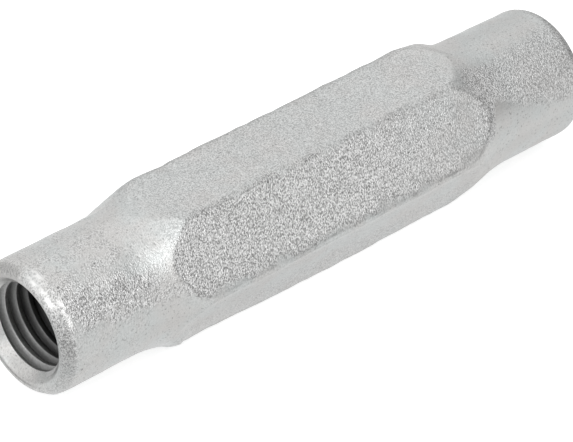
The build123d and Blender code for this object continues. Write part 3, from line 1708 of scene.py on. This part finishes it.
# The skin's shade and glint colours are the grit's painted shade and painted highlights.
SKIN_ZINC = ZincFinish(
    name="forged_zinc_plate",
    covers=Finish.SKIN,
    colour=(0.60, 0.605, 0.60),
    cool=(0.57, 0.61, 0.605),
    warm=(0.625, 0.605, 0.585),
    shade=(0.29, 0.289, 0.287),
    glint=(0.838, 0.838, 0.833),
    roughness=0.36,
    grain=0.25,
    relief=0.27,
)
BORE_ZINC = ZincFinish(
    name="tapped_zinc_plate",
    covers=Finish.BORE,
    colour=(0.52, 0.525, 0.52),
    cool=(0.50, 0.515, 0.515),
    warm=(0.53, 0.525, 0.51),
    shade=(0.47, 0.47, 0.465),
    glint=(0.57, 0.575, 0.57),
    roughness=0.5,
    grain=0.35,
    relief=0.02,
)


@dataclass(frozen=True)
class SoftBox:
    """An oblong studio lamp that faces the nut.

    Args:
        name: name of the lamp.
        toward: direction from the nut to the lamp.
        distance: distance from the nut in metres.
        width: level side of its face in metres.
        height: upright side of its face in metres.
        glow: how bright its face is, where 1 is white.
    """

    name: str
    toward: tuple[float, float, float]
    distance: float
    width: float
    height: float
    glow: float

    def light(self) -> bpy.types.Object:
        """Make the lamp, whose power is its glow times pi times the area of its face.

        Returns:
            The lamp's object.
        """
        lamp = bpy.data.lights.new(self.name, "AREA")
        lamp.shape = "RECTANGLE"
        lamp.size, lamp.size_y = self.width, self.height
        lamp.energy = self.glow * math.pi * self.width * self.height
        made = bpy.data.objects.new(self.name, lamp)
        direction = Vector(self.toward).normalized()
        made.location = direction * self.distance
        made.rotation_euler = direction.to_track_quat("Z", "Y").to_euler()
        bpy.context.scene.collection.objects.link(made)
        return made


@dataclass
class Studio:
    """Pale floor, soft lamps, pale surroundings and the camera.

    Args:
        floor_height: height of the floor in metres.
        floor_size: side of the floor in metres.
        card: how pale the floor is.
        glow: how much the floor glows for the camera.
        horizon: brightness of the surroundings at the horizon and below.
        zenith: brightness of the surroundings overhead.
        zenith_bend: power of the height by which the one goes over into the other.
        lamps: the lamps.
        azimuth: where the camera stands, in degrees from -Y towards +X.
        elevation: how high it stands, in degrees above the horizon.
        roll: how far it is turned about its own axis, in degrees.
        distance: how far it stands off, in millimetres.
        aside: how far it is moved to its right, in millimetres.
        upward: how far it is moved upward in its picture, in millimetres.
        sensor: width of its sensor in millimetres.
        lens: focal length in millimetres.
        clip: nearest and farthest distance that it sees, in metres.
    """

    floor_height: float
    floor_size: float = 6.0
    card: float = 0.85
    glow: float = 0.52
    horizon: float = 0.58
    zenith: float = 1.3
    zenith_bend: float = 3.0
    lamps: tuple[SoftBox, ...] = (
        SoftBox("front_soft_box", (0.01, -0.80, 0.58), distance=1.1, width=0.48, height=0.98, glow=1.64),
        SoftBox("left_soft_box", (-0.97, 0.08, 0.25), distance=1.1, width=0.8, height=0.5, glow=1.1),
        SoftBox("mouth_soft_box", (-0.68, -0.34, 0.65), distance=1.1, width=0.3, height=0.3, glow=4.0),
        SoftBox("back_soft_box", (0.45, 0.77, 0.45), distance=1.1, width=1.5, height=1.1, glow=0.3),
        SoftBox("rear_soft_box", (-0.57, 0.60, 0.56), distance=1.1, width=0.6, height=0.6, glow=0.5),
    )
    azimuth: float = -43.262
    elevation: float = 35.028
    roll: float = 1.175
    distance: float = 749.57
    aside: float = -0.955
    upward: float = -5.030
    sensor: float = 36.0
    lens: float = 260.44
    clip: Span = (0.01, 20.0)

    def floor(self) -> bpy.types.Object:
        """Make the floor: pale card that keeps the nut's shadow, and plain white in reflections.

        Returns:
            The floor's object, marked as stage.
        """
        half = self.floor_size / 2.0
        sides = np.array([[-half, -half], [half, -half], [half, half], [-half, half]])
        corners = np.concatenate([sides, np.full((4, 1), self.floor_height)], axis=1)
        mesh = bpy.data.meshes.new("studio_floor")
        mesh.from_pydata(corners, [], [(0, 1, 2, 3)])
        made = bpy.data.objects.new("studio_floor", mesh)
        bpy.context.scene.collection.objects.link(made)
        mesh.materials.append(self.floor_card())
        return made

    def floor_card(self) -> bpy.types.Material:
        """Build the floor's material.

        Returns:
            Card that also glows a little for the camera, and is plain white to glossy rays.
        """
        made = bpy.data.materials.new("studio_card")
        made.use_nodes = True
        made.node_tree.nodes.clear()
        wiring = Wiring(made.node_tree)
        output = wiring.node("ShaderNodeOutputMaterial")
        path = wiring.node("ShaderNodeLightPath")
        card = wiring.node("ShaderNodeBsdfDiffuse")
        wiring.feed(card.inputs["Color"], (self.card, self.card, self.card, 1.0))
        seen = wiring.node("ShaderNodeEmission")
        glow = wiring.math("MULTIPLY", path.outputs["Is Camera Ray"], self.glow)
        wiring.feed(seen.inputs["Strength"], glow)
        lit = wiring.node("ShaderNodeAddShader")
        wiring.feed(lit.inputs[0], card.outputs[0])
        wiring.feed(lit.inputs[1], seen.outputs[0])
        white = wiring.node("ShaderNodeEmission")
        mirrored = wiring.math("MAXIMUM", path.outputs["Is Glossy Ray"], path.outputs["Is Transmission Ray"])
        mixed = wiring.node("ShaderNodeMixShader")
        wiring.feed(mixed.inputs[0], mirrored)
        wiring.feed(mixed.inputs[1], lit.outputs[0])
        wiring.feed(mixed.inputs[2], white.outputs[0])
        wiring.feed(output.inputs["Surface"], mixed.outputs[0])
        return made

    def surroundings(self) -> None:
        """Set the world: pale overhead and greyer towards the horizon."""
        world = bpy.data.worlds.new("studio_room")
        bpy.context.scene.world = world
        world.use_nodes = True
        wiring = Wiring(world.node_tree)
        background = world.node_tree.nodes["Background"]
        coordinates = wiring.node("ShaderNodeTexCoord")
        parts = wiring.node("ShaderNodeSeparateXYZ")
        wiring.feed(parts.inputs[0], coordinates.outputs["Generated"])
        wiring.feed(background.inputs["Color"], (1.0, 1.0, 1.0, 1.0))
        height = wiring.math("MAXIMUM", parts.outputs["Z"], 0.0)
        bent = wiring.math("POWER", height, self.zenith_bend)
        rise = wiring.math("MULTIPLY", bent, self.zenith - self.horizon)
        wiring.feed(background.inputs["Strength"], wiring.math("ADD", rise, self.horizon))

    def camera(self) -> bpy.types.Object:
        """Make the camera at the photograph's viewpoint.

        It stands off along the view's backward direction, then moves aside and upward in the picture's
        own directions, which are turned by the roll.

        Returns:
            The camera's object.
        """
        azimuth, elevation = math.radians(self.azimuth), math.radians(self.elevation)
        level = math.cos(elevation)
        back = Vector((math.sin(azimuth) * level, -math.cos(azimuth) * level, math.sin(elevation)))
        right = Vector((0.0, 0.0, 1.0)).cross(back).normalized()
        up = back.cross(right)
        roll = math.radians(self.roll)
        rolled_right = right * math.cos(roll) + up * math.sin(roll)
        rolled_up = up * math.cos(roll) - right * math.sin(roll)
        data = bpy.data.cameras.new("photo_camera")
        data.sensor_width = self.sensor
        data.lens = self.lens
        data.clip_start, data.clip_end = self.clip
        made = bpy.data.objects.new("photo_camera", data)
        turn = Matrix((rolled_right, rolled_up, back)).transposed().to_4x4()
        place = (rolled_right * self.aside + rolled_up * self.upward + back * self.distance) * MM
        made.matrix_world = Matrix.Translation(place) @ turn
        bpy.context.scene.collection.objects.link(made)
        bpy.context.scene.camera = made
        return made

    def build(self) -> None:
        """Make the whole studio and report it."""
        self.floor()
        self.surroundings()
        for lamp in self.lamps:
            lamp.light()
        self.camera()
        bpy.context.scene.view_settings.view_transform = "Standard"
        log.info("studio: floor at %.4f m, %d lamps", self.floor_height, len(self.lamps))


def bore_radius(name: str) -> float:
    """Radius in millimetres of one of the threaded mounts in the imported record."""
    return next(mount["dims"]["r_mm"] for mount in frame["record"]["mounts"] if mount["name"] == name)


def main() -> None:
    """Build the nut and its studio around the frame."""
    logging.basicConfig(level=logging.INFO, format="%(name)s: %(message)s")
    low, high = (np.array(corner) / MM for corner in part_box(NODE))
    half_length, flat_radius = (high[0] - low[0]) / 2.0, (high[2] - low[2]) / 2.0
    columns = Columns()
    threads = tuple(
        Thread(side, hand, half_length, bore_radius(name), columns)
        for side, hand, name in (
            (Side.LEFT_END, Hand.LEFT, "left_hand_thread"),
            (Side.RIGHT_END, Hand.RIGHT, "right_hand_thread"),
        )
    )
    skin = Forging(half_length, flat_radius, threads[0].rim_radius, columns)
    surface_masks = SurfaceMasks(half_length, HighlightStreakMap(skin), BoreShadeMap(threads[0]))
    nut = CouplingNut("coupling_nut", skin, threads, surface_masks)
    piece = nut.build()
    for finish in sorted((SKIN_ZINC, BORE_ZINC), key=lambda finish: finish.covers.value):
        piece.data.materials.append(finish.material())
    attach(piece, BODY)
    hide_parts(NODE)
    log.info("%s: %d points, %d faces", piece.name, len(piece.data.vertices), len(piece.data.polygons))
    Studio(floor_height=float(low[2]) * MM).build()


if __name__ == "__main__":
    main()
